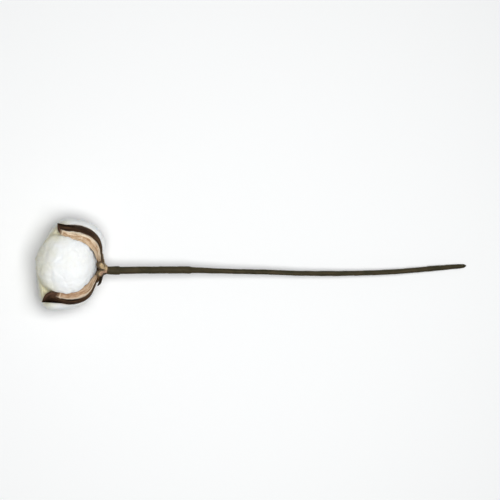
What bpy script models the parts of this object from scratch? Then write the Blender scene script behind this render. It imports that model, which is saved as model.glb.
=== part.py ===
# A dried cotton boll on a tape-wrapped wire stem, lying on a table.
# Metres, +Z up. +X runs along the stem from the boll to its tip, and the origin lies
# on the table under the middle of the object. Dimensions below are in millimetres.

import math
from bisect import bisect_right
from dataclasses import dataclass

import bmesh
import bpy
from mathutils import Vector

MM = 0.001
GAP = 0.35

# Where the stem enters the boll, and how the boll leans: it is turned a little from
# the stem in plan, and tips up as the stem runs down to the table.
BOLL_BASE = Vector((-92.7, -3.4, 24.8))
BOLL_TURN = math.radians(9.5)
STEM_SLOPE = math.radians(5.93)

# The boll in section. Every point is (height along the boll's axis, radius).
# Each lock runs from its crest line down to a valley line under the husk's flanks.
VALLEY_LINE = [
    (3.95, 0.3), (4.2, 4.5), (6.0, 9.0), (8.6, 13.4), (11.5, 17.4), (14.8, 20.4), (18.3, 22.1),
    (22.5, 22.6), (27.0, 22.6), (31.2, 21.9), (35.1, 18.6), (37.7, 13.4), (39.4, 7.6), (40.1, 0.3),
]
FRONT_CREST = [
    (3.95, 0.3), (4.4, 5.2), (6.3, 10.2), (7.5, 15.4), (8.9, 20.3), (11.8, 24.7), (16.2, 27.6),
    (21.8, 28.7), (28.0, 28.0), (33.8, 25.2), (38.4, 20.4), (41.6, 14.2), (43.2, 7.6), (43.6, 0.3),
]
BACK_CREST = [
    (3.95, 0.3), (4.1, 5.2), (4.8, 10.2), (5.5, 15.4), (6.9, 20.3), (10.2, 24.8), (15.4, 27.7),
    (21.5, 28.6), (27.6, 27.6), (32.8, 24.7), (36.8, 19.8), (39.6, 13.6), (41.3, 7.2), (41.8, 0.3),
]
LEFT_CREST = [
    (3.95, 0.3), (4.1, 5.0), (3.9, 9.3), (0.8, 11.6), (1.0, 16.5), (3.7, 21.2), (8.5, 25.1),
    (14.7, 27.4), (21.4, 28.0), (27.7, 27.3), (33.0, 24.3), (36.4, 18.6), (39.5, 9.4), (41.6, 0.3),
]
RIGHT_CREST = [
    (3.95, 0.3), (4.1, 5.0), (4.0, 9.4), (2.6, 12.3), (3.6, 17.2), (6.9, 21.9), (12.4, 25.5),
    (19.1, 28.2), (25.6, 29.8), (31.2, 29.8), (35.2, 26.8), (38.0, 19.6), (40.9, 9.8), (42.3, 0.3),
]
LOCK_STATIONS = 25
# Half of a lock's section: (share of the way to the flank's edge, share of the rise to the crest).
# It swells a little over the flank before it tucks in under the edge.
LOCK_SECTION = [
    (0.0, 1.0), (0.22, 0.995), (0.44, 0.975), (0.66, 0.935), (0.86, 0.87), (1.0, 0.79),
    (1.06, 0.7), (1.04, 0.6), (0.97, 0.48), (0.96, 0.0),
]
LOCK_SWELL = 0.5
LOCK_FOOT = 0.45  # the narrow inner foot's radius, as a share of the valley line's
FLANK_CLEARANCE = (1.6, 2.6)  # in gaps: all along a flank, and added towards its tip

# The husk's four valves. The keel line is the outer middle of a valve from hub to tip, and the
# other tables follow it: half of the dark skin's width, the flanks' reach, and their depth.
KEEL_LINE = [
    (2.2, 1.7), (2.5, 6.5), (3.4, 13.1), (5.8, 20.9), (10.7, 26.0),
    (17.1, 28.6), (23.0, 28.8), (28.5, 27.9), (32.0, 28.2), (34.3, 30.0),
]
SKIN_HALF = [1.3, 2.1, 2.9, 3.4, 3.6, 3.6, 3.5, 3.3, 2.7, 0.16]
WIDE_FLANK = [1.8, 3.8, 6.0, 7.9, 8.7, 8.5, 7.6, 6.2, 4.2, 0.2]
NARROW_FLANK = [1.8, 3.0, 4.2, 5.1, 5.7, 5.7, 5.4, 4.6, 3.3, 0.2]
FLANK_DEPTH = [1.2, 1.6, 3.3, 4.4, 4.8, 4.8, 4.5, 3.6, 2.3, 0.32]
WALL_DEPTH = [1.2, 1.3, 1.9, 2.2, 2.3, 2.3, 2.2, 2.0, 1.5, 0.3]
VALVE_STATIONS = 25
FLANK_EDGE = 6  # the place of a flank's inner edge in flank_section
TIP_START = 6  # the keel point where a valve's bent tip begins
PINCH_PLACE = 0.66  # the share along a valve where its wide flank is pinched most
PINCH_REACH = 0.24


@dataclass
class Valve:
    """One valve of the husk. Its tip may be longer, lean out or sweep sideways."""

    azimuth: float
    wide_side: int
    width: float
    pinch: float
    skin: float
    forward: float
    longer: float
    lean: float
    sweep: float


VALVES = [
    Valve(math.radians(54), -1, 1.02, 0.05, 0.95, -0.2, 0.2, -0.4, 0.0),
    Valve(math.radians(128), 1, 0.96, 0.08, 1.0, 0.3, -2.8, -2.2, -0.8),
    Valve(math.radians(232), -1, 0.93, 0.1, 0.92, 0.0, -0.2, 0.5, 0.6),
    Valve(math.radians(302.5), 1, 1.0, 0.33, 0.7, 0.6, 0.9, 1.2, -0.2),
]

# Each lock fills the sector between one valve and the next: its name, the two, and its crest.
LOCKS = [
    ("lock_left", VALVES[0], VALVES[1], LEFT_CREST),
    ("lock_back", VALVES[1], VALVES[2], BACK_CREST),
    ("lock_right", VALVES[2], VALVES[3], RIGHT_CREST),
    ("lock_front", VALVES[3], VALVES[0], FRONT_CREST),
]

# The hub where the valves grow together, with the hole that the wire is pushed into.
WIRE_RADIUS = 0.6
WIRE_HOLE = 0.86
HUB_LINE = [
    (-0.9, WIRE_HOLE), (-0.9, 1.8), (0.1, 2.9), (0.9, 5.2), (2.0, 8.6),
    (3.3, 8.4), (3.5, 4.2), (3.55, WIRE_HOLE),
]
HUB_SIDES = 32

# The dried calyx: a thin ragged cup round the hub. Its line runs from collar to rim. A tooth
# lies flat behind the valves, or cups forward round the hub between two of them.
CALYX_FLAT = [(-2.3, 2.6), (-1.3, 3.0), (-0.1, 4.3), (0.8, 6.4), (1.6, 9.0), (2.55, 12.8)]
CALYX_CUPPED = [(-2.3, 2.6), (-1.4, 3.1), (-0.3, 4.7), (0.75, 7.4), (2.6, 9.7), (5.6, 10.7)]
CALYX_WALL = 0.65
CALYX_SIDES = 72
CALYX_ROWS = 9
CALYX_NOTCH = 0.6  # how far along its line the cup reaches between teeth
# Each tooth: azimuth, half width, how far along the line it reaches, and how far it is cupped.
CALYX_TEETH = [
    (math.radians(14), math.radians(21), 0.95, 1.0),
    (math.radians(-17), math.radians(19), 0.88, 0.9),
    (math.radians(-56), math.radians(24), 0.97, 0.0),
    (math.radians(-128), math.radians(26), 0.84, 0.0),
    (math.radians(178), math.radians(20), 0.92, 0.8),
    (math.radians(118), math.radians(28), 0.9, 0.0),
]

# The stem's line in plan, as (x, y), past the point where it leaves the boll.
STEM_LINE = [
    (-84.0, -4.05), (-70.0, -3.85), (-50.0, -3.75), (-38.0, -3.8), (-24.0, -4.25), (-7.0, -4.75),
    (12.0, -5.15), (25.0, -5.7), (42.0, -6.0), (60.0, -5.95), (76.0, -5.55), (88.0, -5.05),
    (100.0, -4.2), (112.5, -3.05), (125.0, -2.0), (135.9, -1.15),
]
STEM_ENTRY = 3.2  # how far the wire's end stands above the boll's base, inside the hub
STEM_TIP = 135.9
# The tape's outer radius at each x: two short overlaps near the boll, then one even layer.
TAPE_PROFILE = [
    (-91.4, 1.75), (-90.4, 2.05), (-88.9, 2.38), (-87.2, 2.58), (-84.8, 2.7), (-82.6, 2.7),
    (-82.0, 2.3), (-70.0, 2.26), (-54.0, 2.25), (-42.0, 2.28), (-38.8, 2.36), (-37.9, 2.2),
    (-37.0, 1.92), (-31.0, 1.8),
    (-19.0, 1.6), (-7.0, 1.57), (12.0, 1.58), (28.0, 1.56), (43.0, 1.56), (44.6, 1.65),
    (60.0, 1.56), (80.0, 1.57), (97.0, 1.57), (110.5, 1.6), (112.2, 1.69), (124.5, 1.53),
    (129.0, 1.47), (132.0, 1.38), (134.0, 1.2), (134.9, 0.98),
]
TAPE_SIDES = 12
WIRE_PROFILE = [(135.2, WIRE_RADIUS), (135.6, 0.5), (STEM_TIP, 0.2)]
WIRE_SIDES = 8

SKIN_BROWN = (0.055, 0.032, 0.018, 1.0)
LINT_WHITE = (0.90, 0.90, 0.88, 1.0)
CALYX_TAN = (0.24, 0.14, 0.075, 1.0)
TAPE_OLIVE = (0.075, 0.065, 0.04, 1.0)
WIRE_GREY = (0.12, 0.12, 0.11, 1.0)


# The boll's own directions: along its axis towards the apex, up out of the front lock, and across.
ALONG = Vector((
    -math.cos(STEM_SLOPE) * math.cos(BOLL_TURN),
    math.cos(STEM_SLOPE) * math.sin(BOLL_TURN),
    math.sin(STEM_SLOPE),
))
UPWARD = (Vector((0, 0, 1)) - ALONG * ALONG.z).normalized()
ACROSS = ALONG.cross(UPWARD)


def on_spline(points, share):
    """A point on the smooth curve through points. share runs from 0 to 1, evenly over the points."""
    place = min(max(share, 0.0), 1.0) * (len(points) - 1)
    first = min(int(place), len(points) - 2)
    t = place - first
    p0, p1, p2, p3 = (points[min(max(first + k, 0), len(points) - 1)] for k in (-1, 0, 1, 2))
    return tuple(
        b + 0.5 * t * (c - a + t * (2 * a - 5 * b + 4 * c - d + t * (3 * (b - c) + d - a)))
        for a, b, c, d in zip(p0, p1, p2, p3)
    )


def table_value(values, share):
    return on_spline([(v,) for v in values], share)[0]


def between(table, x):
    """The value at x in a table of (x, value) pairs, straight between them."""
    last = len(table) - 1
    i = min(max(bisect_right([row[0] for row in table], x) - 1, 0), last - 1)
    (x0, v0), (x1, v1) = table[i], table[i + 1]
    t = min(max((x - x0) / (x1 - x0), 0.0), 1.0)
    return v0 + (v1 - v0) * t


def in_boll(height, radius, azimuth, sideways=0.0):
    """A place in the boll, from its height along the axis, its radius and its azimuth."""
    outward = UPWARD * math.cos(azimuth) + ACROSS * math.sin(azimuth)
    round_axis = ACROSS * math.cos(azimuth) - UPWARD * math.sin(azimuth)
    return BOLL_BASE + ALONG * height + outward * radius + round_axis * sideways


def material(name, colour, roughness, metallic=0.0):
    made = bpy.data.materials.new(name)
    made.use_nodes = True
    shader = made.node_tree.nodes["Principled BSDF"]
    shader.inputs["Base Color"].default_value = colour
    shader.inputs["Roughness"].default_value = roughness
    shader.inputs["Metallic"].default_value = metallic
    made.diffuse_color = colour
    return made


def add_object(name, bm, finish):
    """Turns a mesh in millimetres into a named object in metres."""
    bmesh.ops.scale(bm, vec=(MM, MM, MM), verts=bm.verts)
    bmesh.ops.recalc_face_normals(bm, faces=bm.faces)
    mesh = bpy.data.meshes.new(name)
    bm.to_mesh(mesh)
    bm.free()
    mesh.materials.append(finish)
    mesh.shade_smooth()
    mesh.set_sharp_from_angle(angle=math.radians(40))
    obj = bpy.data.objects.new(name, mesh)
    bpy.context.scene.collection.objects.link(obj)
    return obj


def loft(rings, closed_ends=True):
    """A skin over rings of equal count. With closed_ends off, the last ring joins the first."""
    bm = bmesh.new()
    rows = [[bm.verts.new(p) for p in ring] for ring in rings]
    following = rows[1:] if closed_ends else rows[1:] + rows[:1]
    for row, after in zip(rows, following):
        for i in range(len(row)):
            j = (i + 1) % len(row)
            bm.faces.new((row[i], row[j], after[j], after[i]))
    if closed_ends:
        bm.faces.new(rows[0])
        bm.faces.new(rows[-1])
    return bm


def tip_share(share):
    """How far a station lies into a valve's bent tip: 0 over most of its length, 1 at the end."""
    last = len(KEEL_LINE) - 1
    return max(0.0, share * last - TIP_START) / (last - TIP_START)


def keel_frame(valve, share):
    """A valve's keel point and its inward direction, both as (height, radius)."""
    step = 0.004
    height, radius = on_spline(KEEL_LINE, share)
    before = on_spline(KEEL_LINE, share - step)
    after = on_spline(KEEL_LINE, share + step)
    run, rise = after[0] - before[0], after[1] - before[1]
    length = math.hypot(run, rise)
    bent = tip_share(share) ** 2
    height += valve.forward * min(1.0, 4.0 * share) + valve.longer * bent
    point = (height, radius + valve.lean * bent)
    return point, (rise / length, -run / length)


def flank_section(share, reach, skin_width):
    """Half of a valve's section, as (sideways, depth) from the keel to the middle of its inner wall."""
    skin = table_value(SKIN_HALF, share) * skin_width
    flank = max(reach, skin * 1.06)
    deep = table_value(FLANK_DEPTH, share)
    wall = table_value(WALL_DEPTH, share)
    lip = flank - skin
    return [
        (0.0, -0.15 * wall),
        (0.55 * skin, 0.0),
        (skin, 0.16 * deep),
        (skin + 0.08 * lip, 0.27 * deep),
        (skin + 0.34 * lip, 0.25 * deep),
        (skin + 0.66 * lip, 0.60 * deep),
        (flank, deep),
        (0.92 * flank, 1.06 * deep),
        (0.55 * flank, 0.45 * wall + 0.60 * deep),
        (0.0, wall),
    ]


def valve_halves(valve, share):
    """A valve's section at a station, as its two halves by the side that they lie on."""
    waver = 1.0 + 0.05 * math.sin(17.0 * share + 3.0 * valve.azimuth)
    pinched = valve.pinch * max(0.0, 1.0 - ((share - PINCH_PLACE) / PINCH_REACH) ** 2)
    width = valve.width * (1.0 - pinched)
    wide = flank_section(share, table_value(WIDE_FLANK, share) * width * waver, valve.skin)
    narrow = flank_section(share, table_value(NARROW_FLANK, share) * waver, valve.skin)
    return {valve.wide_side: wide, -valve.wide_side: narrow}


def valve_ring(valve, share):
    (height, radius), (in_height, in_radius) = keel_frame(valve, share)
    drift = valve.sweep * tip_share(share) ** 2
    halves = valve_halves(valve, share)

    def place(side, point):
        sideways, depth = point
        return in_boll(
            height + in_height * depth,
            radius + in_radius * depth,
            valve.azimuth,
            side * sideways + drift,
        )

    plus = [place(1, p) for p in halves[1]]
    minus = [place(-1, p) for p in halves[-1][1:-1]]
    return plus + minus[::-1]


def make_hub():
    """The hub, turned round the boll's axis."""
    rings = []
    for i in range(HUB_SIDES):
        azimuth = 2 * math.pi * i / HUB_SIDES
        rings.append([in_boll(height, radius, azimuth) for height, radius in HUB_LINE])
    return loft(rings, closed_ends=False)


def make_husk(finish):
    husk = add_object("husk", make_hub(), finish)
    cutters = bpy.data.collections.new("valves")
    bpy.context.scene.collection.children.link(cutters)
    for number, valve in enumerate(VALVES):
        shares = [i / (VALVE_STATIONS - 1) for i in range(VALVE_STATIONS)]
        rings = [valve_ring(valve, share) for share in shares]
        piece = add_object(f"valve_{number}", loft(rings), finish)
        bpy.context.scene.collection.objects.unlink(piece)
        cutters.objects.link(piece)
    union = husk.modifiers.new("join valves", "BOOLEAN")
    union.operation = "UNION"
    union.operand_type = "COLLECTION"
    union.collection = cutters
    union.solver = "EXACT"
    union.use_self = True
    bpy.context.view_layer.update()
    joined = bpy.data.meshes.new_from_object(husk.evaluated_get(bpy.context.evaluated_depsgraph_get()))
    husk.modifiers.clear()
    husk.data = joined
    for piece in list(cutters.objects):
        bpy.data.objects.remove(piece)
    bpy.data.collections.remove(cutters)


def flank_edges(valve, side):
    """Where a valve's flank has its inner edge: (height, angle from the valve's middle)."""
    edges = []
    steps = 60
    for i in range(steps + 1):
        share = i / steps
        (height, radius), (in_height, in_radius) = keel_frame(valve, share)
        sideways, depth = valve_halves(valve, share)[side][FLANK_EDGE]
        sideways += side * valve.sweep * tip_share(share) ** 2
        place = (height + in_height * depth, math.atan2(sideways, radius + in_radius * depth))
        if not edges or place[0] > edges[-1][0] + 0.01:
            edges.append(place)
    edges.append((edges[-1][0] + 2.0, 0.0))
    return edges


def lock_ring(share, crest_azimuth, half, crest, edges):
    """One closed section through a lock: over its crest between two flanks, and back past the axis."""
    low_height, low_radius = on_spline(VALLEY_LINE, share)
    top_height, top_radius = on_spline(crest, share)
    ends = min(1.0, 4.0 * share, 4.0 * (1.0 - share))
    clearance = math.atan(GAP * (FLANK_CLEARANCE[0] + FLANK_CLEARANCE[1] * share**3) / low_radius)
    widest = (half - clearance) / max(out for out, _ in LOCK_SECTION)
    sides = []
    for side in (-1, 1):
        row = []
        for out, rise in LOCK_SECTION:
            height = low_height + (top_height - low_height) * rise
            edge = min(half - between(edges[side], height) - clearance, widest)
            turn = side * out * max(edge, 0.25 * half)
            wave = math.sin(9.0 * share + 2.2 * turn + 2.0 * crest_azimuth)
            wave += 0.5 * math.sin(19.0 * share + 5.0 * turn)
            swell = LOCK_SWELL * ends * max(0.0, 1.0 - out * out) * wave
            radius = low_radius + (top_radius - low_radius) * rise + swell
            row.append((height, radius, crest_azimuth + turn))
        row.append((low_height, low_radius, crest_azimuth + side * half))
        row.append((low_height, LOCK_FOOT * low_radius, crest_azimuth + side * half))
        sides.append(row)
    outline = sides[0][::-1] + sides[1][1:]
    return [in_boll(*place) for place in outline]


def make_lock(name, first_valve, next_valve, crest, finish):
    half = ((next_valve.azimuth - first_valve.azimuth) % (2 * math.pi)) / 2
    crest_azimuth = first_valve.azimuth + half
    edges = {-1: flank_edges(first_valve, 1), 1: flank_edges(next_valve, -1)}
    shares = [i / (LOCK_STATIONS - 1) for i in range(LOCK_STATIONS)]
    rings = [lock_ring(share, crest_azimuth, half, crest, edges) for share in shares]
    # The locks keep a gap where their septum faces meet along the axis.
    shift = (UPWARD * math.cos(crest_azimuth) + ACROSS * math.sin(crest_azimuth)) * GAP
    rings = [[point + shift for point in ring] for ring in rings]
    # The lock underneath is pressed flat by the boll's weight where it meets the table.
    rings = [[Vector((p.x, p.y, max(p.z, 0.0))) for p in ring] for ring in rings]
    return add_object(name, loft(rings), finish)


def calyx_reach(azimuth):
    """How far along its line the calyx reaches at an azimuth, and how far it is cupped there."""
    reach, cupped = CALYX_NOTCH, 0.0
    for middle, half, tooth_reach, tooth_cupped in CALYX_TEETH:
        away = abs((azimuth - middle + math.pi) % (2 * math.pi) - math.pi) / half
        if away < 1.0:
            shape = (1.0 - away**1.7) ** 0.8
            reach = max(reach, CALYX_NOTCH + (tooth_reach - CALYX_NOTCH) * shape)
            cupped = max(cupped, tooth_cupped * min(1.0, 2.0 * shape))
    return reach, cupped


def calyx_line(share, cupped):
    flat, round_hub = on_spline(CALYX_FLAT, share), on_spline(CALYX_CUPPED, share)
    return tuple(a + (b - a) * cupped for a, b in zip(flat, round_hub))


def make_calyx(finish):
    rings = []
    for i in range(CALYX_SIDES):
        azimuth = 2 * math.pi * i / CALYX_SIDES
        reach, cupped = calyx_reach(azimuth)
        inner, outer = [], []
        for row in range(CALYX_ROWS):
            share = row / (CALYX_ROWS - 1) * reach
            height, radius = calyx_line(share, cupped)
            before, after = calyx_line(share - 0.01, cupped), calyx_line(share + 0.01, cupped)
            run, rise = after[0] - before[0], after[1] - before[1]
            length = math.hypot(run, rise)
            inner.append((height, radius))
            outer.append((height - CALYX_WALL * rise / length, radius + CALYX_WALL * run / length))
        line = inner + outer[::-1]
        rings.append([in_boll(height, radius, azimuth) for height, radius in line])
    return add_object("calyx", loft(rings, closed_ends=False), finish)


def stem_route():
    """The stem's middle line, from inside the hub to the tip."""
    slope = math.tan(STEM_SLOPE)
    start = [BOLL_BASE + ALONG * height for height in (STEM_ENTRY, 0.0, -3.4)]
    rest = [
        Vector((x, y, BOLL_BASE.z - (x - BOLL_BASE.x) * slope)) for x, y in STEM_LINE
    ]
    return start + rest


def stem_place(route, x):
    """The point of the stem's line at x, and the direction it runs in."""
    last = len(route) - 1
    low, high = 0.0, 1.0
    for _ in range(40):
        middle = (low + high) / 2
        if on_spline(route, middle)[0] < x:
            low = middle
        else:
            high = middle
    step = 0.02 / last
    before, after = Vector(on_spline(route, low - step)), Vector(on_spline(route, low + step))
    return Vector(on_spline(route, low)), (after - before).normalized()


def stem_ring(route, x, radius, sides):
    middle, direction = stem_place(route, x)
    across = direction.cross(Vector((0, 0, 1))).normalized()
    upward = across.cross(direction)
    turns = [2 * math.pi * i / sides for i in range(sides)]
    return [middle + across * radius * math.cos(a) + upward * radius * math.sin(a) for a in turns]


def make_tape(route, finish):
    """The tape is a sleeve: its outside steps where layers end, and the wire fills its bore."""
    outer = [stem_ring(route, x, radius, TAPE_SIDES) for x, radius in TAPE_PROFILE]
    inner = [stem_ring(route, x, WIRE_HOLE, TAPE_SIDES) for x, _ in TAPE_PROFILE]
    return add_object("stem_tape", loft(outer + inner[::-1], closed_ends=False), finish)


def make_wire(route, finish):
    xs = [route[0].x, route[1].x] + [x for x, _ in TAPE_PROFILE]
    rings = [stem_ring(route, x, WIRE_RADIUS, WIRE_SIDES) for x in xs]
    rings += [stem_ring(route, x, radius, WIRE_SIDES) for x, radius in WIRE_PROFILE]
    return add_object("stem_wire", loft(rings), finish)


def main():
    for obj in list(bpy.data.objects):
        bpy.data.objects.remove(obj)
    lint = material("cotton lint", LINT_WHITE, 0.95)
    for name, first_valve, next_valve, crest in LOCKS:
        make_lock(name, first_valve, next_valve, crest, lint)
    make_husk(material("husk", SKIN_BROWN, 0.7))
    make_calyx(material("dried calyx", CALYX_TAN, 0.85))
    route = stem_route()
    make_tape(route, material("floral tape", TAPE_OLIVE, 0.8))
    make_wire(route, material("stem wire", WIRE_GREY, 0.5, 1.0))


main()
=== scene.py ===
# Looks of a dried cotton boll on a tape-wrapped wire stem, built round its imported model.
# Lengths in the dictionaries are millimetres; the scene is in metres, +Z up, stem along +X.

import math
import random
from bisect import bisect_right

import bpy
import numpy as np
from mathutils import Matrix, Vector, noise
from mathutils.bvhtree import BVHTree


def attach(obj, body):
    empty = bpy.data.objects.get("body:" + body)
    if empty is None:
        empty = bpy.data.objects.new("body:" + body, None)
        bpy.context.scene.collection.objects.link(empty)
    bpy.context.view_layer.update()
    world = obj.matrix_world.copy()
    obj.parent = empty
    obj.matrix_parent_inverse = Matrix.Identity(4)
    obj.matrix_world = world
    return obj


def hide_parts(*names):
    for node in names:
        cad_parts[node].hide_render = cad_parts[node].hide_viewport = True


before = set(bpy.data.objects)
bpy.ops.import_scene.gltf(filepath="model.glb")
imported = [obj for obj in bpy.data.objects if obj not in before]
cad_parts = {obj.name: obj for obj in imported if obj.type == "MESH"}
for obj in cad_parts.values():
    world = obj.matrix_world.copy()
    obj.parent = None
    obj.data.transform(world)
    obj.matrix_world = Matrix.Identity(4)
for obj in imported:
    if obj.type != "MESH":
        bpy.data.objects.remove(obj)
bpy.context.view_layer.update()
scene = bpy.context.scene
noise.seed_set(7)  # else the clock seeds it, and each run has other tufts
mm = 0.001

# how the boll stands on its stem, as in the part's source
boll = {
    "base": (-92.7, -3.4, 24.8),  # where the wire enters
    "turn": 9.5,  # degrees away from the stem, in plan
    "slope": 5.93,  # degrees that the stem runs down to the table
}

slopeAngle = math.radians(boll["slope"])
turnAngle = math.radians(boll["turn"])
bollBase = Vector(boll["base"])
along = Vector((
    -math.cos(slopeAngle) * math.cos(turnAngle),
    math.cos(slopeAngle) * math.sin(turnAngle),
    math.sin(slopeAngle),
))
upward = (Vector((0, 0, 1)) - along * along.z).normalized()
across = along.cross(upward)


def deselectAll():
    if bpy.context.object and bpy.context.object.mode != "OBJECT":
        bpy.ops.object.mode_set(mode="OBJECT")
    bpy.ops.object.select_all(action="DESELECT")


def takeUp(piece):
    deselectAll()
    piece.select_set(True)
    bpy.context.view_layer.objects.active = piece


def inBoll(height, radius, azimuth, sideways=0.0):
    outward = upward * math.cos(azimuth) + across * math.sin(azimuth)
    roundAxis = across * math.cos(azimuth) - upward * math.sin(azimuth)
    return bollBase + along * height + outward * radius + roundAxis * sideways


def curveAt(points, share):  # a smooth curve through points, share from 0 to 1
    place = min(max(share, 0.0), 1.0) * (len(points) - 1)
    first = min(int(place), len(points) - 2)
    t = place - first
    last = len(points) - 1
    p0, p1, p2, p3 = (points[min(max(first + k, 0), last)] for k in (-1, 0, 1, 2))
    return tuple(
        b + 0.5 * t * (c - a + t * (2 * a - 5 * b + 4 * c - d + t * (3 * (b - c) + d - a)))
        for a, b, c, d in zip(p0, p1, p2, p3)
    )


def valueAt(values, share):
    return curveAt([(v,) for v in values], share)[0]


def tableAt(table, x):
    i = min(max(bisect_right([row[0] for row in table], x) - 1, 0), len(table) - 2)
    (x0, v0), (x1, v1) = table[i], table[i + 1]
    return v0 + (v1 - v0) * min(max((x - x0) / (x1 - x0), 0.0), 1.0)


def rough(x, y, z, octaves=3):  # layered noise, about -1 to 1
    return noise.fractal(Vector((x, y, z)), 1.0, 2.0, octaves)


def gridPiece(name, columns, rows, placeAt, marks, closed=True):
    # a grid is added, rolled or bent to its place, and closed; marks are attributes for its finish
    deselectAll()
    bpy.ops.mesh.primitive_grid_add(x_subdivisions=columns, y_subdivisions=rows, size=1)
    piece = bpy.context.object
    piece.name = piece.data.name = name
    mesh = piece.data
    values = {mark: [] for mark in marks}
    for vertex in mesh.vertices:
        u, v = vertex.co.x + 0.5, vertex.co.y + 0.5
        place, found = placeAt(u, v)
        vertex.co = place * mm
        for mark, value in zip(marks, found):
            values[mark].append(value)
    for mark in marks:
        mesh.attributes.new(mark, "FLOAT", "POINT").data.foreach_set("value", values[mark])
    if closed:
        bpy.ops.object.mode_set(mode="EDIT")
        bpy.ops.mesh.select_all(action="SELECT")
        bpy.ops.mesh.remove_doubles(threshold=1e-6)
        bpy.ops.mesh.select_all(action="DESELECT")
        bpy.ops.mesh.select_non_manifold()
        bpy.ops.mesh.fill_holes(sides=0)
        bpy.ops.mesh.select_all(action="SELECT")
        bpy.ops.mesh.normals_make_consistent(inside=False)
        bpy.ops.object.mode_set(mode="OBJECT")
    bpy.ops.object.shade_smooth()
    return piece


def joinPieces(name, pieces):
    deselectAll()
    for piece in pieces:
        piece.select_set(True)
    bpy.context.view_layer.objects.active = pieces[0]
    bpy.ops.object.join()
    pieces[0].name = pieces[0].data.name = name
    return pieces[0]


def settle(piece, finish, nodes=()):
    piece.data.materials.clear()
    piece.data.materials.append(finish)
    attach(piece, "root")
    if nodes:
        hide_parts(*nodes)


def linear(red, green, blue):  # from the 0 to 255 of a picture
    return tuple(
        (c / 255 / 12.92 if c <= 10 else ((c / 255 + 0.055) / 1.055) ** 2.4) for c in (red, green, blue)
    ) + (1.0,)


def grey(value):
    return (value, value, value, 1.0)


black, white = grey(0.0), grey(1.0)


def addNode(tree, kind, inputs=None, **settings):
    made = tree.nodes.new(kind)
    for key, value in settings.items():
        setattr(made, key, value)
    for key, value in (inputs or {}).items():
        if isinstance(value, bpy.types.NodeSocket):
            tree.links.new(value, made.inputs[key])
        else:
            made.inputs[key].default_value = value
    return made


def newFinish(name, **sockets):
    made = bpy.data.materials.new(name)
    made.use_nodes = True
    shader = made.node_tree.nodes["Principled BSDF"]
    for key, value in sockets.items():
        shader.inputs[key.replace("_", " ")].default_value = value
    return made, made.node_tree, shader


def ramp(tree, factor, stops):
    made = addNode(tree, "ShaderNodeValToRGB", {0: factor})
    elements = made.color_ramp.elements
    for place, colour in stops[2:]:
        elements.new(place)
    for element, (place, colour) in zip(elements, sorted(stops)):
        element.position = place
        element.color = colour
    return made.outputs[0]


def blendColours(tree, factor, first, second, mode="MIX"):
    made = addNode(
        tree, "ShaderNodeMix", {0: factor, 6: first, 7: second}, data_type="RGBA", blend_type=mode
    )
    return made.outputs[2]


def arithmetic(tree, operation, first, second=0.0, clamp=False):
    made = addNode(tree, "ShaderNodeMath", {0: first, 1: second}, operation=operation, use_clamp=clamp)
    return made.outputs[0]


def stretched(tree, source, scale, turn=(0, 0, 0)):
    made = addNode(tree, "ShaderNodeMapping", {
        "Vector": source, "Rotation": [math.radians(a) for a in turn], "Scale": scale,
    })
    return made.outputs[0]


def cloudy(tree, source, scale, detail=3.0, roughness=0.5, distortion=0.0):
    made = addNode(tree, "ShaderNodeTexNoise", {
        "Vector": source, "Scale": scale, "Detail": detail,
        "Roughness": roughness, "Distortion": distortion,
    })
    return made.outputs["Fac"]


def objectCoords(tree):
    return addNode(tree, "ShaderNodeTexCoord").outputs["Object"]


def uvCoords(tree):
    return addNode(tree, "ShaderNodeTexCoord").outputs["UV"]


def mark(tree, name):
    return addNode(tree, "ShaderNodeAttribute", attribute_name=name).outputs["Fac"]


def raised(tree, shader, height, distance, strength=1.0):
    made = addNode(tree, "ShaderNodeBump", {"Height": height, "Distance": distance, "Strength": strength})
    tree.links.new(made.outputs[0], shader.inputs["Normal"])


def fibrePattern(tree, coords, scale):  # three crossing sets of fine curved lines, matted together
    warp = addNode(tree, "ShaderNodeTexNoise", {"Vector": coords, "Scale": 260.0, "Detail": 1.0})
    bent = addNode(
        tree, "ShaderNodeMix", {0: 0.0035, 4: coords, 5: warp.outputs["Color"]}, data_type="VECTOR"
    )
    found = None
    for turn in ((20, 35, 10), (-50, 15, 75), (70, -40, 130)):
        lines = cloudy(tree, stretched(tree, bent.outputs[1], (1.0, 0.11, 0.5), turn), scale, 2.0, 0.6)
        found = lines if found is None else arithmetic(tree, "MAXIMUM", found, lines)
    return found


def cottonFinish():
    finish, tree, shader = newFinish(
        "cotton lint", Roughness=0.95, Subsurface_Weight=0.3, Subsurface_Scale=0.0015,
        Sheen_Weight=0.08, Sheen_Roughness=0.6, Specular_IOR_Level=0.1,
    )
    shader.inputs["Subsurface Radius"].default_value = (1.0, 0.95, 0.9)
    coords = objectCoords(tree)
    fibrous = fibrePattern(tree, coords, 3200.0)
    soft = cloudy(tree, coords, 160.0, 3.0)
    tufts = cloudy(tree, coords, 75.0, 2.0)
    tint = ramp(tree, tufts, [(0.3, linear(249, 250, 246)), (0.6, linear(253, 254, 254))])
    # the cream colour is yellowed lint, darkened as painted shade on the tips, in the valleys and where the
    # locks meet
    agedAndShaded = ramp(tree, tufts, [(0.3, linear(216, 209, 168)), (0.62, linear(232, 227, 198))])
    tint = blendColours(tree, mark(tree, "cream"), tint, agedAndShaded)
    shade = ramp(tree, fibrous, [(0.38, (0.95, 0.95, 0.945, 1)), (0.62, white)])
    tree.links.new(blendColours(tree, 1.0, tint, shade, "MULTIPLY"), shader.inputs["Base Color"])
    height = arithmetic(tree, "ADD", fibrous, arithmetic(tree, "MULTIPLY", soft, 1.6))
    raised(tree, shader, height, 0.00035, 0.75)
    return finish


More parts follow.
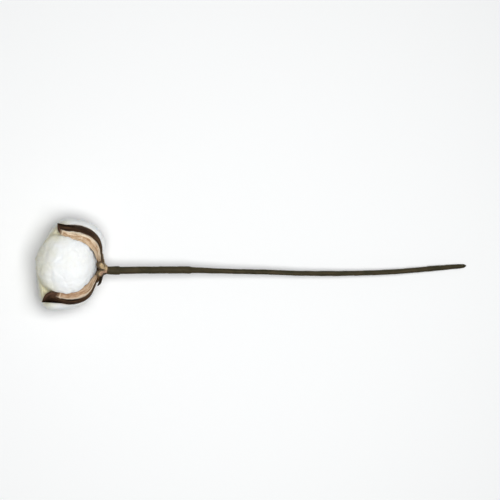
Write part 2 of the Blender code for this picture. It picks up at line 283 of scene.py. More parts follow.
def strandFinish():
    finish, tree, shader = newFinish(
        "cotton fibre", Roughness=0.8, Sheen_Weight=0.15, Subsurface_Weight=0.7,
        Subsurface_Scale=0.001, Specular_IOR_Level=0.15,
    )
    tint = ramp(tree, cloudy(tree, objectCoords(tree), 500.0), [
        (0.3, linear(250, 250, 246)), (0.7, linear(255, 255, 254)),
    ])
    tree.links.new(tint, shader.inputs["Base Color"])
    return finish


def huskFinish():
    # zone runs from the middle of the dark skin (0) over its edge (1) and the pale lip to the
    # flank's inner edge (3) and the inside (4); along runs from hub to tip
    finish, tree, shader = newFinish("dried husk", Roughness=0.65, Specular_IOR_Level=0.14)
    uv = uvCoords(tree)
    coords = objectCoords(tree)
    zone, run, warmth = mark(tree, "zone"), mark(tree, "along"), mark(tree, "warmth")
    streaks = cloudy(tree, stretched(tree, uv, (70.0, 4.5, 1.0)), 1.0, 4.0, 0.65, 0.4)
    fine = cloudy(tree, stretched(tree, uv, (220.0, 16.0, 1.0)), 1.0, 2.0, 0.6)
    patches = cloudy(tree, coords, 190.0, 4.0, 0.6)
    # the skin's lightest streaks are partly a painted sheen on the dark skin
    skin = ramp(tree, streaks, [
        (0.32, linear(22, 12, 5)), (0.5, linear(52, 34, 20)), (0.68, linear(112, 82, 58)),
    ])
    baseWarm = arithmetic(tree, "MULTIPLY", ramp(tree, run, [(0.16, white), (0.5, black)]), 0.8)
    skin = blendColours(tree, baseWarm, skin, ramp(tree, streaks, [
        (0.35, linear(62, 41, 24)), (0.62, linear(118, 90, 58)),
    ]))
    # the lip and flank are pale lining with streaks; their brightest, near-white stops are a painted
    # highlight on the raised lip and the flank's ridges
    lip = ramp(tree, streaks, [
        (0.3, linear(212, 180, 140)), (0.42, linear(248, 228, 196)), (0.58, linear(255, 250, 236)),
    ])
    flank = ramp(tree, streaks, [
        (0.3, linear(122, 88, 60)), (0.44, linear(212, 180, 144)), (0.58, linear(254, 238, 212)),
    ])
    ruddy = ramp(tree, streaks, [
        (0.3, linear(104, 70, 52)), (0.48, linear(170, 132, 108)), (0.64, linear(224, 190, 166)),
    ])
    towardsTip = ramp(tree, run, [(0.25, grey(0.2)), (0.6, white)])
    flank = blendColours(tree, arithmetic(tree, "MULTIPLY", warmth, towardsTip), flank, ruddy)
    lip = blendColours(tree, arithmetic(tree, "MULTIPLY", warmth, 0.2), lip, flank)
    # the border between the zones wanders with the streaks
    wander = arithmetic(tree, "MULTIPLY", arithmetic(tree, "SUBTRACT", streaks, 0.5), 0.5)
    edge = arithmetic(tree, "ADD", zone, arithmetic(tree, "MULTIPLY", wander, 0.25))
    overLip = ramp(tree, arithmetic(tree, "SUBTRACT", edge, 0.5), [(0.5, black), (0.56, white)])
    wandered = arithmetic(tree, "ADD", zone, arithmetic(tree, "MULTIPLY", wander, 1.6))
    inFlank = ramp(tree, arithmetic(tree, "MULTIPLY", wandered, 0.25), [(0.4, black), (0.52, white)])
    pale = blendColours(tree, inFlank, lip, flank)
    # a rusty streak runs along the inner half of the pale flank, broken into blotches
    zoneShare = arithmetic(tree, "MULTIPLY", zone, 0.25)
    band = ramp(tree, zoneShare, [(0.5, black), (0.56, white), (0.62, white), (0.7, black)])
    clouds = cloudy(tree, stretched(tree, uv, (24.0, 13.0, 1.0)), 1.0, 4.0, 0.7, 0.5)
    blotches = ramp(tree, clouds, [(0.44, black), (0.58, grey(0.8))])
    rust = ramp(tree, streaks, [(0.3, linear(112, 76, 48)), (0.62, linear(196, 152, 108))])
    pale = blendColours(tree, arithmetic(tree, "MULTIPLY", band, blotches), pale, rust)
    # painted shade: the pale flank is darkened towards its inner edge beside the lint
    paintedInnerShade = ramp(tree, zoneShare, [(0.52, white), (0.68, (0.78, 0.72, 0.66, 1))])
    pale = blendColours(tree, 1.0, pale, paintedInnerShade, "MULTIPLY")
    # past the flank's torn end the tip is dark
    tip = mark(tree, "tip")
    torn = ramp(tree, tip, [(0.0, black), (0.12, grey(0.8)), (0.4, black)])
    pale = blendColours(tree, tip, pale, ramp(tree, streaks, [
        (0.3, linear(38, 24, 16)), (0.5, linear(70, 48, 34)), (0.68, linear(128, 94, 74)),
    ]))
    pale = blendColours(tree, torn, pale, linear(244, 226, 198))
    colour = blendColours(tree, overLip, skin, pale)
    worn = ramp(tree, patches, [(0.3, (0.76, 0.74, 0.72, 1)), (0.6, white)])
    tree.links.new(blendColours(tree, 0.8, colour, worn, "MULTIPLY"), shader.inputs["Base Color"])
    tree.links.new(ramp(tree, fine, [(0.3, grey(0.5)), (0.7, grey(0.82))]), shader.inputs["Roughness"])
    height = arithmetic(tree, "ADD", arithmetic(tree, "MULTIPLY", streaks, 1.3), fine)
    height = arithmetic(tree, "ADD", height, arithmetic(tree, "MULTIPLY", patches, 0.6))
    raised(tree, shader, height, 0.00022, 0.9)
    return finish


def calyxFinish():
    # tone is 0 on the dark strands and ear, 1 on the tan pocket, 2 on the pinkish lobe
    finish, tree, shader = newFinish("dried calyx", Roughness=0.75, Specular_IOR_Level=0.3)
    uv, tone = uvCoords(tree), mark(tree, "tone")
    veins = cloudy(tree, stretched(tree, uv, (150.0, 12.0, 1.0)), 1.0, 6.0, 0.72, 0.6)
    patches = cloudy(tree, objectCoords(tree), 620.0, 5.0, 0.65)
    dark = ramp(tree, veins, [
        (0.3, linear(22, 15, 8)), (0.5, linear(48, 37, 24)), (0.7, linear(92, 72, 48)),
    ])
    tan = ramp(tree, veins, [
        (0.3, linear(150, 116, 74)), (0.5, linear(210, 182, 138)), (0.7, linear(246, 224, 184)),
    ])
    pink = ramp(tree, veins, [
        (0.3, linear(130, 92, 70)), (0.5, linear(186, 148, 120)), (0.7, linear(232, 196, 168)),
    ])
    colour = blendColours(tree, arithmetic(tree, "ADD", tone, 0.0, True), dark, tan)
    colour = blendColours(tree, arithmetic(tree, "SUBTRACT", tone, 1.0, True), colour, pink)
    worn = ramp(tree, patches, [(0.3, (0.7, 0.68, 0.64, 1)), (0.62, white)])
    tree.links.new(blendColours(tree, 0.8, colour, worn, "MULTIPLY"), shader.inputs["Base Color"])
    height = arithmetic(tree, "ADD", veins, arithmetic(tree, "MULTIPLY", patches, 0.7))
    raised(tree, shader, height, 0.0002, 0.9)
    return finish


def tapeFinish():
    # lap is the place across one wrap of tape, 0 at its free edge; start is 1 where the tape begins
    finish, tree, shader = newFinish("floral tape", Roughness=0.75, Specular_IOR_Level=0.18)
    uv, coords = uvCoords(tree), objectCoords(tree)
    lap, start = mark(tree, "lap"), mark(tree, "start")
    crepe = cloudy(tree, stretched(tree, uv, (26.0, 110.0, 1.0), (0, 0, 24)), 1.0, 3.0, 0.6)
    drawn = cloudy(tree, stretched(tree, uv, (16.0, 9.0, 1.0)), 1.0, 4.0, 0.6)
    patches = cloudy(tree, coords, 120.0, 4.0, 0.55)
    colour = ramp(tree, drawn, [
        (0.3, linear(36, 32, 17)), (0.5, linear(60, 53, 32)), (0.7, linear(92, 79, 53)),
    ])
    green = ramp(tree, patches, [(0.35, linear(40, 40, 22)), (0.65, linear(72, 61, 42))])
    colour = blendColours(tree, 0.5, colour, green)
    # the free edge of each wrap is lightened as a painted highlight, and the tape just under the next
    # wrap's edge is darkened as a painted shadow
    edge = ramp(tree, lap, [
        (0.0, (1.25, 1.25, 1.2, 1)), (0.06, grey(0.95)), (0.9, white), (0.99, grey(0.55)),
    ])
    colour = blendColours(tree, 1.0, colour, edge, "MULTIPLY")
    brown = ramp(tree, drawn, [(0.35, linear(84, 56, 38)), (0.65, linear(140, 104, 76))])
    colour = blendColours(tree, arithmetic(tree, "MULTIPLY", start, 0.85), colour, brown)
    tree.links.new(colour, shader.inputs["Base Color"])
    tree.links.new(ramp(tree, crepe, [(0.3, grey(0.5)), (0.7, grey(0.8))]), shader.inputs["Roughness"])
    raised(tree, shader, arithmetic(tree, "ADD", crepe, drawn), 0.00018, 0.8)
    return finish


def wireFinish():
    finish, tree, shader = newFinish("stem wire", Metallic=1.0, Roughness=0.45)
    coords = objectCoords(tree)
    scratches = cloudy(tree, stretched(tree, coords, (60.0, 2600.0, 2600.0)), 1.0, 3.0, 0.6)
    tint = ramp(tree, scratches, [(0.3, linear(58, 54, 46)), (0.7, linear(122, 118, 108))])
    tree.links.new(tint, shader.inputs["Base Color"])
    dull = ramp(tree, scratches, [(0.3, grey(0.35)), (0.7, grey(0.6))])
    tree.links.new(dull, shader.inputs["Roughness"])
    raised(tree, shader, scratches, 0.00003, 0.5)
    return finish


view = {
    "middle": (-0.4, 8.8),  # what the camera looks down on
    "width": 314.0,  # across the frame, at the boll's middle height
    "height": 25.0,
    "lens": 600.0,  # long, so that the view is nearly flat
    "sensor": 36.0,
}

lights = {
    # name: place, aim, size, watts, colour
    "key": ((-20, -10, 900), (-60, 0, 20), 400, 7.35, (0.99, 1.0, 1.0)),
    "fill": ((500, -80, 720), (-60, 0, 20), 500, 0.25, (0.97, 0.98, 1.0)),
}
skyStrength = 0.13


def lookDown():
    deselectAll()
    distance = view["lens"] / view["sensor"] * view["width"]
    x, y = view["middle"]
    bpy.ops.object.camera_add(
        location=(x * mm, y * mm, (view["height"] + distance) * mm), rotation=(0, 0, 0)
    )
    camera = bpy.context.object
    camera.name = "viewCamera"
    camera.data.lens = view["lens"]
    camera.data.clip_end = 20.0
    scene.camera = camera


def layFloor():
    deselectAll()
    bpy.ops.mesh.primitive_plane_add(size=6.0, location=(0, 0, 0))
    floor = bpy.context.object
    floor.name = "floor"
    finish, tree, shader = newFinish("pale floor", Roughness=0.9, Specular_IOR_Level=0.1)
    shader.inputs["Base Color"].default_value = (0.98, 0.98, 0.98, 1)
    floor.data.materials.append(finish)


def hangLights():
    for name, (place, aim, size, watts, colour) in lights.items():
        deselectAll()
        place, aim = Vector(place) * mm, Vector(aim) * mm
        bpy.ops.object.light_add(type="AREA", location=place)
        lamp = bpy.context.object
        lamp.name = name + "Light"
        lamp.rotation_euler = (aim - place).to_track_quat("-Z", "Y").to_euler()
        lamp.data.size = size * mm
        lamp.data.energy = watts
        lamp.data.color = colour
    sky = bpy.data.worlds.new("studio")
    sky.use_nodes = True
    sky.node_tree.nodes["Background"].inputs[0].default_value = (0.97, 0.985, 1.0, 1)
    sky.node_tree.nodes["Background"].inputs[1].default_value = skyStrength
    scene.world = sky
    scene.view_settings.view_transform = "Standard"


cotton = {
    "voxel": 0.85,  # of the remesh that the locks are softened with
    "smoothing": 8,
    "swell": 0.15,  # how far the lint bulges past the solid, over the husk's gap
    "tuftSize": 11.5,  # each seed's tuft
    "tuftDepth": 0.5,
    "tuftWarp": (6.0, 1.6),  # size and reach of the noise that bends the tufts
    "lumpSize": 3.0,
    "lumpDepth": 0.2,
    "reach": 3.6,  # locks this near each other press together
    "seam": 0.04,  # what is left open between them, on each side
    "evening": 10,  # how often the press is evened out over the mesh
    "crease": 2.8,  # lint this near the plane between two locks is drawn up to it, at the apex
    "creaseFrom": 27.0,  # from this height in the boll
    "creaseRadius": 19.0,  # and within this distance of its axis
    "creaseFade": 4.0,
    "creamFrom": 32.0,  # height in the boll where the lint starts to turn cream towards the tips: yellowing, and painted shade on the rounded tips
    "creamTo": 42.0,
    "valleys": (54.0, 128.0, 232.0, 302.5),  # azimuths between the locks, where it is creamiest: yellowing, and painted shade in the valleys between them
    "valleyWidth": 32.0,
    "valleyFrom": 24.0,
    "valleyTo": 33.0,
    "floorGap": 0.05,  # no lint goes lower than this
}


def lintHeight(point):  # how far the lint stands out at a point in millimetres
    warpSize, warpReach = cotton["tuftWarp"]
    bent = point + noise.noise_vector(point / warpSize) * warpReach
    near, _ = noise.voronoi(bent / cotton["tuftSize"] + Vector((0.37, 0.11, 0.53)))
    valley = min(1.0, (near[1] - near[0]) / 0.55)
    bulge = cotton["tuftDepth"] * (valley * (2.0 - valley) - 0.75)
    lump = cotton["lumpDepth"] * rough(*(point / cotton["lumpSize"]), 4)
    return cotton["swell"] + bulge + lump


def creamAt(point):  # 0 on the white crown of a lock, 1 where the lint is cream: yellowed lint, with painted shade towards the tips and in the valleys between locks
    place = point - bollBase
    height = place.dot(along)
    outward = place - along * height
    azimuth = math.degrees(math.atan2(outward.dot(across), outward.dot(upward)))
    tip = (height - cotton["creamFrom"]) / (cotton["creamTo"] - cotton["creamFrom"])
    nearest = min(abs((azimuth - valley + 180) % 360 - 180) for valley in cotton["valleys"])
    rising = (height - cotton["valleyFrom"]) / (cotton["valleyTo"] - cotton["valleyFrom"])
    valley = (1.0 - nearest / cotton["valleyWidth"]) * 1.5 * min(1.0, max(0.0, rising))
    cream = max(0.0, min(0.6, tip * 0.7), valley) + 0.12 * rough(*(point / 5.0))
    return min(1.0, max(0.0, cream))


def evened(mesh, values, times):  # each point's value drawn towards those beside it
    values = np.array(values)
    ends = np.empty(len(mesh.edges) * 2, dtype=int)
    mesh.edges.foreach_get("vertices", ends)
    first, second = ends[0::2], ends[1::2]
    counts = np.bincount(ends, minlength=len(values))
    size = len(values)
    for _ in range(times):
        sums = np.bincount(first, values[second], size) + np.bincount(second, values[first], size)
        values = 0.4 * values + 0.6 * sums / np.maximum(counts, 1)
    return values.tolist()


def closeCreases(point):  # draws lint at the apex up to the planes between the locks
    place = point - bollBase
    height = place.dot(along)
    if height < cotton["creaseFrom"]:
        return point
    for valley in cotton["valleys"]:
        angle = math.radians(valley)
        outward = upward * math.cos(angle) + across * math.sin(angle)
        sideways = across * math.cos(angle) - upward * math.sin(angle)
        radius, aside = place.dot(outward), place.dot(sideways)
        if -0.5 < radius < cotton["creaseRadius"] and abs(aside) < cotton["crease"]:
            draw = min(1.0, 2.0 * (1.0 - abs(aside) / cotton["crease"]))
            inside = min(height - cotton["creaseFrom"], cotton["creaseRadius"] - radius)
            draw *= min(1.0, inside / cotton["creaseFade"])
            shift = sideways * math.copysign(max(0.0, abs(aside) - cotton["seam"]) * draw, aside)
            place, point = place - shift, point - shift
    return point


def makeLock(node, neighbours):  # one lock of lint, softened, pressed to its neighbours and tufted
    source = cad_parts[node]
    lock = bpy.data.objects.new(node.replace("lock_", "lint_"), source.data.copy())
    scene.collection.objects.link(lock)
    takeUp(lock)
    bpy.ops.object.mode_set(mode="EDIT")
    bpy.ops.mesh.select_all(action="SELECT")
    bpy.ops.mesh.remove_doubles(threshold=1e-5)
    bpy.ops.object.mode_set(mode="OBJECT")
    remesh = lock.modifiers.new("soften", "REMESH")
    remesh.mode = "VOXEL"
    remesh.voxel_size = cotton["voxel"] * mm
    smooth = lock.modifiers.new("smooth", "SMOOTH")
    smooth.factor = 0.5
    smooth.iterations = cotton["smoothing"]
    for name in ("soften", "smooth"):
        bpy.ops.object.modifier_apply(modifier=name)
    finer = lock.modifiers.new("finer", "SUBSURF")
    finer.levels = finer.render_levels = 1
    bpy.ops.object.modifier_apply(modifier="finer")
    mesh = lock.data
    for vertex in mesh.vertices:
        vertex.co = closeCreases(vertex.co / mm) * mm
    mesh.update()
    normals = [v.normal.copy() for v in mesh.vertices]
    rises, pressed = [], []
    for vertex, normal in zip(mesh.vertices, normals):
        hit, hitNormal, _, far = neighbours.ray_cast(vertex.co, normal, cotton["reach"] * mm)
        near = 1.0 - far / mm / cotton["reach"] if hit and hitNormal.dot(normal) < -0.3 else 0.0
        pressed.append(min(1.0, 2.5 * near))
        rises.append(0.5 * far / mm - cotton["seam"] if near > 0 else 0.0)
    rises, pressed = evened(mesh, rises, cotton["evening"]), evened(mesh, pressed, cotton["evening"])
    creams = []
    for vertex, normal, rise, press in zip(mesh.vertices, normals, rises, pressed):
        point = vertex.co / mm
        place = point + normal * (rise + lintHeight(point) * (1.0 - press))
        vertex.co = Vector((place.x, place.y, max(place.z, cotton["floorGap"]))) * mm
        # lint is made creamier where the locks press together: painted shade between the locks
        creams.append(min(1.0, creamAt(point) + 0.6 * press))
    mesh.attributes.new("cream", "FLOAT", "POINT").data.foreach_set("value", creams)
    mesh.update()
    bpy.ops.object.shade_smooth()
    return lock


fibres = {
    "flat": 1700,  # on each lock, lying along the lint
    "stray": 420,  # on each lock, with a free end
    "thickness": 0.024,
    "length": (4.0, 11.0),
    "flatRise": (0.0, 0.07),
    "strayRise": (0.4, 1.8),
    "joints": 7,
    "sides": 3,
    "open": 4.5,  # a fibre is only laid where this much room is open above the lint
    "seed": 40,
}


def placePicker(mesh, rng):  # random places on a mesh, evenly over its area
    mesh.calc_loop_triangles()
    corners = [[mesh.vertices[i].co.copy() for i in t.vertices] for t in mesh.loop_triangles]
    sums, total = [], 0.0
    for t in mesh.loop_triangles:
        total += t.area
        sums.append(total)

    def pick():
        a, b, c = corners[bisect_right(sums, rng.random() * total) % len(sums)]
        u, v = rng.random(), rng.random()
        if u + v > 1:
            u, v = 1 - u, 1 - v
        return a + (b - a) * u + (c - a) * v, (b - a).cross(c - a).normalized()

    return pick


def fibreLine(start, normal, surface, rng, stray):
    anyWay = Vector((rng.uniform(-1, 1), rng.uniform(-1, 1), rng.uniform(-1, 1)))
    direction = normal.cross(anyWay).normalized()
    length = rng.uniform(*fibres["length"]) * mm * (0.6 if stray else 1.0)
    joints = fibres["joints"]
    rise = rng.uniform(*fibres["strayRise" if stray else "flatRise"]) * mm
    curl = rng.gauss(0, 0.3)
    place, line = start.copy(), []
    for i in range(joints + 1):
        t = i / joints
        found, foundNormal, _, _ = surface.find_nearest(place)
        height = rise * t**1.6 if stray else rise * math.sin(math.pi * t)
        line.append(found + foundNormal * (height + (0.0 if stray and i else -0.02 * mm)))
        direction = (direction - foundNormal * direction.dot(foundNormal)).normalized()
        direction = Matrix.Rotation(curl + rng.gauss(0, 0.28), 3, foundNormal) @ direction
        place = found + direction * length / joints
    return line


def fibrePiece(name, lines, rng):
    points, faces = [], []
    sides = fibres["sides"]
    for line in lines:
        first = len(points)
        last = len(line) - 1
        radius = fibres["thickness"] * mm * rng.uniform(0.7, 1.2) / 2
        for i, place in enumerate(line):
            direction = (line[min(i + 1, last)] - line[max(i - 1, 0)]).normalized()
            side = direction.cross(Vector((0.31, 0.52, 0.79))).normalized()
            other = direction.cross(side)
            width = radius * (0.45 if i in (0, last) else 1.0)
            for k in range(sides):
                a = 2 * math.pi * k / sides
                points.append(place + (side * math.cos(a) + other * math.sin(a)) * width)
        for i in range(last):
            low = first + sides * i
            high = low + sides
            for k in range(sides):
                n = (k + 1) % sides
                faces.append((low + k, high + k, high + n, low + n))
        end = first + sides * last
        faces.append(tuple(range(first, first + sides)))
        faces.append(tuple(reversed(range(end, end + sides))))
    mesh = bpy.data.meshes.new(name)
    mesh.from_pydata(points, [], faces)
    mesh.update()
    mesh.shade_smooth()
    piece = bpy.data.objects.new(name, mesh)
    scene.collection.objects.link(piece)
    takeUp(piece)
    bpy.ops.object.mode_set(mode="EDIT")
    bpy.ops.mesh.select_all(action="SELECT")
    bpy.ops.mesh.normals_make_consistent(inside=False)
    bpy.ops.object.mode_set(mode="OBJECT")
    return piece


def treeOf(pieces):
    points, faces = [], []
    for piece in pieces:
        first = len(points)
        points += [v.co.copy() for v in piece.data.vertices]
        faces += [[first + i for i in p.vertices] for p in piece.data.polygons]
    return BVHTree.FromPolygons(points, faces)


def makeFibres(name, lock, everything, seed):
    rng = random.Random(seed)
    surface = treeOf([lock])
    pick = placePicker(lock.data, rng)
    lines = []
    for stray, count in ((False, fibres["flat"]), (True, fibres["stray"])):
        made = tries = 0
        while made < count and tries < count * 12:
            tries += 1
            start, normal = pick()
            if start.z < 0.4 * mm:
                continue
            if everything.ray_cast(start + normal * 0.4 * mm, normal, fibres["open"] * mm)[0]:
                continue
            line = fibreLine(start, normal, surface, rng, stray)
            if min(p.z for p in line) < 0.06 * mm:
                continue
            lines.append(line)
            made += 1
    return fibrePiece(name, lines, rng)


husk = {
    "keel": [(2.2, 1.7), (2.5, 6.5), (3.4, 13.1), (5.8, 20.9), (10.7, 26.0),
             (17.1, 28.6), (23.0, 28.8), (28.5, 27.9), (32.0, 28.2), (34.3, 30.0)],
    "skin": [1.3, 2.1, 2.9, 3.4, 3.6, 3.6, 3.5, 3.3, 2.7, 0.16],
    "wide": [1.8, 3.8, 6.0, 7.9, 8.7, 8.5, 7.6, 6.2, 4.2, 0.2],
    "narrow": [1.8, 3.0, 4.2, 5.1, 5.7, 5.7, 5.4, 4.6, 3.3, 0.2],
    "depth": [1.2, 1.6, 3.3, 4.4, 4.8, 4.8, 4.5, 3.6, 2.3, 0.32],
    "wall": [1.2, 1.3, 1.9, 2.2, 2.3, 2.3, 2.2, 2.0, 1.5, 0.3],
    "pinchPlace": 0.66,
    "pinchReach": 0.24,
    # azimuth, side of the wide flank, its width and pinch, width of the dark skin, forward, longer,
    # lean, sweep, warmth of its colour, and where along it the dark tip starts
    "valves": [
        (54, -1, 1.02, 0.05, 0.95, -0.2, 0.2, -0.4, 0.0, 0.1, 0.83),
        (128, 1, 0.96, 0.08, 1.0, 0.3, -2.8, -2.2, -0.8, 0.4, 0.8),
        (232, -1, 0.93, 0.1, 0.92, 0.0, -0.2, 0.5, 0.6, 0.6, 0.74),
        (302.5, 1, 1.0, 0.33, 0.7, 0.6, 0.9, 1.2, -0.2, 0.6, 0.7),
    ],
    "columns": 72,
    "rows": 120,
    "hubLine": [(-0.9, 0.7), (-0.9, 1.8), (0.1, 2.9), (0.9, 5.2),
                (2.0, 8.6), (3.3, 8.4), (3.5, 4.2), (3.55, 0.7)],
}


def tipShare(share):  # 0 up to the keel's seventh point, then to 1 at the tip
    last = len(husk["keel"]) - 1
    return max(0.0, share * last - 6) / (last - 6)


def keelFrame(valve, share):
    forward, longer, lean = valve[5:8]
    height, radius = curveAt(husk["keel"], share)
    before, after = curveAt(husk["keel"], share - 0.004), curveAt(husk["keel"], share + 0.004)
    run, rise = after[0] - before[0], after[1] - before[1]
    size = math.hypot(run, rise)
    bent = tipShare(share) ** 2
    height += forward * min(1.0, 4.0 * share) + longer * bent
    return (height, radius + lean * bent), (rise / size, -run / size)


def valveSection(valve, share, side, place):
    # a point of the section as (sideways, depth), and its zone; place runs from keel to inside
    azimuth, wideSide, width, pinch, skinWidth = valve[:5]
    tipFrom = valve[10]
    waver = 1.0 + 0.05 * math.sin(17.0 * share + 3.0 * math.radians(azimuth))
    body = min(1.0, 8.0 * share, 7.0 * (1.0 - share))
    seed = azimuth * 0.37 + side * 5.0
    skin = valueAt(husk["skin"], share) * skinWidth
    skin *= 1.0 + 0.07 * body * rough(share * 15.0, seed, 0.0, 3)
    width *= 1.0 - pinch * max(0.0, 1.0 - ((share - husk["pinchPlace"]) / husk["pinchReach"]) ** 2)
    reach = valueAt(husk["wide"], share) * width if side == wideSide else valueAt(husk["narrow"], share)
    flank = max(reach * waver, skin * 1.06) * (1.0 + 0.035 * body * rough(share * 17.0, seed, 7.0, 3))
    deep, wall = valueAt(husk["depth"], share), valueAt(husk["wall"], share)
    lip = flank - skin
    outer = [(0, -0.15 * wall), (0.3 * skin, -0.1 * wall), (0.62 * skin, 0.03 * deep),
             (0.86 * skin, 0.09 * deep), (skin + 0.05 * lip, 0.17 * deep)]
    pale = [(skin - 0.03 * lip, 0.3 * deep), (skin + 0.1 * lip, 0.235 * deep),
            (skin + 0.3 * lip, 0.22 * deep), (skin + 0.5 * lip, 0.38 * deep),
            (skin + 0.72 * lip, 0.66 * deep), (flank, deep)]
    inner = [(flank, deep), (0.93 * flank, 1.07 * deep), (0.7 * flank, 0.45 * wall + 0.72 * deep),
             (0.35 * flank, 0.8 * wall + 0.25 * deep), (0, wall)]
    if place < 0.36:
        point, zone = curveAt(outer, place / 0.36), place / 0.36
    elif place < 0.76:
        t = (place - 0.39) / 0.37
        point, zone = curveAt(pale, t), 1.05 + 1.95 * max(t, 0.0)
    else:
        t = (place - 0.76) / 0.24
        point, zone = curveAt(inner, t), 3.0 + t
    ridges = rough(zone * 7.0 * (1 if zone < 1 else 0.8), share * 5.0, seed, 3)
    creases = rough(zone * 2.5, share * 26.0, seed + 3.0, 3)
    amount = 0.2 if zone < 1 else (0.24 if zone < 3 else 0.12)
    relief = body * (amount * ridges + 0.13 * creases)
    if 1.2 < zone < 2.9:  # a small curl where the dark tip begins
        relief += 0.35 * math.exp(-(((share - tipFrom) / 0.012) ** 2))
    return point[0], point[1] - relief, zone


huskMarks = ("zone", "along", "warmth", "tip")


def valvePiece(valve, number):
    azimuth = valve[0]
    sweep, warmth, tipFrom = valve[8:]
    angle = math.radians(azimuth)
    frames = {}

    def placeAt(u, v):
        if v not in frames:
            frames[v] = keelFrame(valve, v)
        (height, radius), (inHeight, inRadius) = frames[v]
        side = 1 if u < 0.5 else -1
        sideways, depth, zone = valveSection(valve, v, side, 2 * u if u < 0.5 else 2 * (1 - u))
        drift = sweep * tipShare(v) ** 2
        if zone < 0.01 or zone > 3.99:
            sideways = 0.0
        place = inBoll(height + inHeight * depth, radius + inRadius * depth, angle, side * sideways + drift)
        tip = min(1.0, max(0.0, (v - tipFrom) / 0.06))
        return place, (zone, v, warmth, tip)

    return gridPiece(f"valve{number}", husk["columns"], husk["rows"], placeAt, huskMarks)


def makeHusk():
    pieces = [valvePiece(valve, number) for number, valve in enumerate(husk["valves"])]

    def placeAt(u, v):
        height, radius = curveAt(husk["hubLine"], v)
        angle = 2 * math.pi * u
        wave = 0.25 * rough(3 * math.cos(angle), 3 * math.sin(angle), 5 * v) * min(1.0, radius / 4)
        return inBoll(height + wave, radius, angle), (0.6, 0.02, 0.3, 0.0)

    pieces.append(gridPiece("hub", 96, 40, placeAt, huskMarks))
    return joinPieces("driedHusk", pieces)


calyx = {
    "flat": [(-2.3, 2.6), (-1.3, 3.0), (-0.1, 4.3), (0.8, 6.4), (1.6, 9.0), (2.55, 12.8)],
    "cupped": [(-2.3, 2.6), (-1.4, 3.1), (-0.3, 4.7), (0.75, 7.4), (2.6, 9.7), (5.6, 10.7)],
    "wall": 0.42,
    "notch": 0.6,  # how far it reaches between its teeth
    "fold": (-45, 13, 1.5),  # azimuth, half width and depth of the dark ear's fold
    # azimuth, half width, reach, cupped, tone
    "teeth": [
        (14, 21, 1.0, 1.0, 1.0),
        (-17, 19, 0.94, 0.9, 2.0),
        (-56, 24, 0.97, 0.0, 0.0),
        (-128, 26, 0.84, 0.0, 0.6),
        (178, 20, 0.92, 0.8, 1.0),
        (118, 28, 0.9, 0.0, 0.5),
    ],
    "columns": 288,
    "rows": 30,
}


def calyxTooth(azimuth):
    # reach and cupping at an azimuth, its tone, and how near a tooth's border it is, reached sooner on one
    # side of each tooth as painted shade
    reach, cupped, tone, shadedBorder = calyx["notch"], 0.0, 0.5, 1.0
    for middle, half, toothReach, toothCupped, toothTone in calyx["teeth"]:
        side = ((azimuth - middle + 180) % 360 - 180) / half
        away = abs(side)
        if away < 1.0:
            shape = (1.0 - away**1.7) ** 0.8
            found = calyx["notch"] + (toothReach - calyx["notch"]) * shape
            if found > reach:
                # the border is reached sooner on one side of each tooth, so that side carries painted shade
                reach, tone, shadedBorder = found, toothTone, away + 0.22 * max(0.0, side)
            cupped = max(cupped, toothCupped * min(1.0, 2.0 * shape))
    return reach, cupped, tone, shadedBorder


def makeCalyx():
    def placeAt(u, v):
        degrees = 360 * u
        angle = 2 * math.pi * u
        reach, cupped, tone, shadedBorder = calyxTooth(degrees)
        x, y = math.cos(angle), math.sin(angle)
        reach *= 1.0 + 0.03 * rough(9 * x, 9 * y, 1.0, 3)
        share = v * reach
        flat, cup = curveAt(calyx["flat"], share), curveAt(calyx["cupped"], share)
        height, radius = (a + (b - a) * cupped for a, b in zip(flat, cup))
        loose = min(1.0, 2.2 * v)
        height += loose * (0.28 * rough(4 * x, 4 * y, 3 * v) + 0.12 * rough(16 * x, 16 * y, 2 * v))
        radius += 0.12 * loose * rough(14 * x + 5, 14 * y, 3 * v)
        curl = max(0.0, (v - 0.85) / 0.15)
        height -= 0.2 * curl * curl
        dark = 0.0  # along the borders of the tan and pink teeth, widened on one side as painted shade, but not near the stem
        if tone >= 1 and share > 0.3:
            dark = max(0.0, min(1.0, (shadedBorder - 0.5) / 0.08), min(1.0, (v - 0.83) / 0.05))
        height += 0.25 * dark
        middle, half, depth = calyx["fold"]
        aside = ((degrees - middle + 180) % 360 - 180) / half
        height -= depth * v * loose * max(0.0, 1.0 - aside * aside)
        return inBoll(height, radius, angle), (tone * (1 - 0.9 * dark), v)

    marks = ("tone", "along")
    piece = gridPiece("driedCalyx", calyx["columns"], calyx["rows"], placeAt, marks, closed=False)
    takeUp(piece)
    bpy.ops.object.mode_set(mode="EDIT")
    bpy.ops.mesh.select_all(action="SELECT")
    bpy.ops.mesh.remove_doubles(threshold=1e-6)
    bpy.ops.object.mode_set(mode="OBJECT")
    wall = piece.modifiers.new("wall", "SOLIDIFY")
    wall.thickness = calyx["wall"] * mm
    wall.offset = 0.0
    wall.use_rim = True
    bpy.ops.object.modifier_apply(modifier="wall")
    bpy.ops.object.mode_set(mode="EDIT")
    bpy.ops.mesh.select_all(action="SELECT")
    bpy.ops.mesh.normals_make_consistent(inside=False)
    bpy.ops.object.mode_set(mode="OBJECT")
    bpy.ops.object.shade_smooth()
    return piece


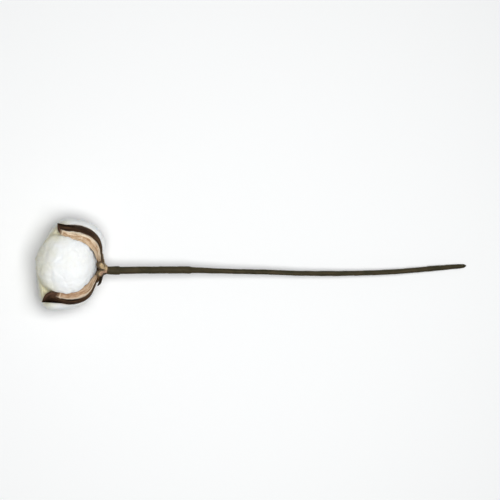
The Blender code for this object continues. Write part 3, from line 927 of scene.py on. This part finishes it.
stem = {
    "line": [(-84.0, -4.05), (-70.0, -3.85), (-50.0, -3.75), (-38.0, -3.8), (-24.0, -4.25),
             (-7.0, -4.75), (12.0, -5.15), (25.0, -5.7), (42.0, -6.0), (60.0, -5.95), (76.0, -5.55),
             (88.0, -5.05), (100.0, -4.2), (112.5, -3.05), (125.0, -2.0), (135.9, -1.15)],
    "entry": (3.2, 0.0, -3.4),  # heights in the boll that it passes on its way out
    "radius": [(-92.2, 2.2), (-91.4, 2.38), (-90.4, 2.42), (-88.9, 2.5), (-87.2, 2.6), (-84.8, 2.72),
               (-82.6, 2.7), (-82.0, 2.3), (-70.0, 2.26), (-54.0, 2.25), (-42.0, 2.28), (-38.8, 2.36),
               (-37.9, 2.2), (-37.0, 1.92), (-31.0, 1.8), (-19.0, 1.6), (-7.0, 1.57), (12.0, 1.58),
               (28.0, 1.56), (43.0, 1.56), (44.6, 1.65), (60.0, 1.56), (80.0, 1.57), (97.0, 1.57),
               (110.5, 1.6), (112.2, 1.69), (124.5, 1.53), (129.0, 1.47), (132.0, 1.38), (134.0, 1.2),
               (134.9, 0.98), (135.2, 0.62)],
    "columns": 30,
    "rows": 620,
    "samples": 1600,  # along its middle line
    "pitch": 13.0,  # from one wrap's free edge to the next
    "lap": 0.1,  # how far a free edge stands up
}


def stemRoute():
    slope = math.tan(slopeAngle)
    start = [bollBase + along * height for height in stem["entry"]]
    return start + [Vector((x, y, bollBase.z - (x - bollBase.x) * slope)) for x, y in stem["line"]]


def makeTape():
    route = stemRoute()
    count = stem["samples"]
    samples = [Vector(curveAt(route, i / count)) for i in range(count + 1)]
    xs = [p.x for p in samples]
    low, high = stem["radius"][0][0], stem["radius"][-1][0]

    def placeAt(u, v):
        x = low + (high - low) * v
        i = min(max(bisect_right(xs, x) - 1, 1), len(xs) - 2)
        t = (x - xs[i]) / (xs[i + 1] - xs[i])
        middle = samples[i].lerp(samples[i + 1], t)
        direction = (samples[i + 1] - samples[i - 1]).normalized()
        side = direction.cross(Vector((0, 0, 1))).normalized()
        top = side.cross(direction)
        angle = 2 * math.pi * u
        cu, su = math.cos(angle), math.sin(angle)
        turns = x / stem["pitch"] + u + 0.22 * noise.noise(Vector((x / 24.0, 0.0, 0.0)))
        lap = turns % 1.0
        ends = min(1.0, (x - low) / 2.0, (high - x) / 2.5)
        radius = tableAt(stem["radius"], x)
        radius += ends * stem["lap"] * (max(0.0, 1.0 - lap) ** 1.4 - 0.45)
        radius += ends * 0.05 * rough(1.6 * cu, 1.6 * su, x / 3.5)
        radius += ends * 0.03 * rough(5 * cu, 5 * su, x / 1.4, 2)
        place = middle + (side * cu + top * su) * radius
        place.z = max(place.z, 0.02)
        start = min(1.0, max(0.0, (-89.2 - x) / 2.5 + 0.3 * noise.noise(Vector((2 * cu, 2 * su, x)))))
        return place, (lap, start)

    return gridPiece("floralTape", stem["columns"], stem["rows"], placeAt, ("lap", "start"))


lookDown()
layFloor()
hangLights()
print("camera, floor and light are set")

lint = cottonFinish()
locks = {}
lockNodes = ("lock_front", "lock_left", "lock_right", "lock_back")
for node in lockNodes:
    others = treeOf([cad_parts[other] for other in lockNodes if other != node])
    locks[node] = makeLock(node, others)
    settle(locks[node], lint, [node])
print("locks:", sum(len(lock.data.polygons) for lock in locks.values()), "faces")

driedHusk = makeHusk()
settle(driedHusk, huskFinish(), ["husk"])
driedCalyx = makeCalyx()
settle(driedCalyx, calyxFinish(), ["calyx"])
print("husk and calyx:", len(driedHusk.data.polygons) + len(driedCalyx.data.polygons), "faces")

floralTape = makeTape()
settle(floralTape, tapeFinish(), ["stem_tape"])
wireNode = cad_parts["stem_wire"]
wireNode.data.materials.clear()
wireNode.data.materials.append(wireFinish())
print("tape:", len(floralTape.data.polygons), "faces")

strand = strandFinish()
everything = treeOf(list(locks.values()) + [driedHusk])
for number, (node, lock) in enumerate(locks.items()):
    strands = makeFibres(node.replace("lock_", "fibres_"), lock, everything, fibres["seed"] + number)
    settle(strands, strand)
    print(strands.name, len(strands.data.polygons), "faces")
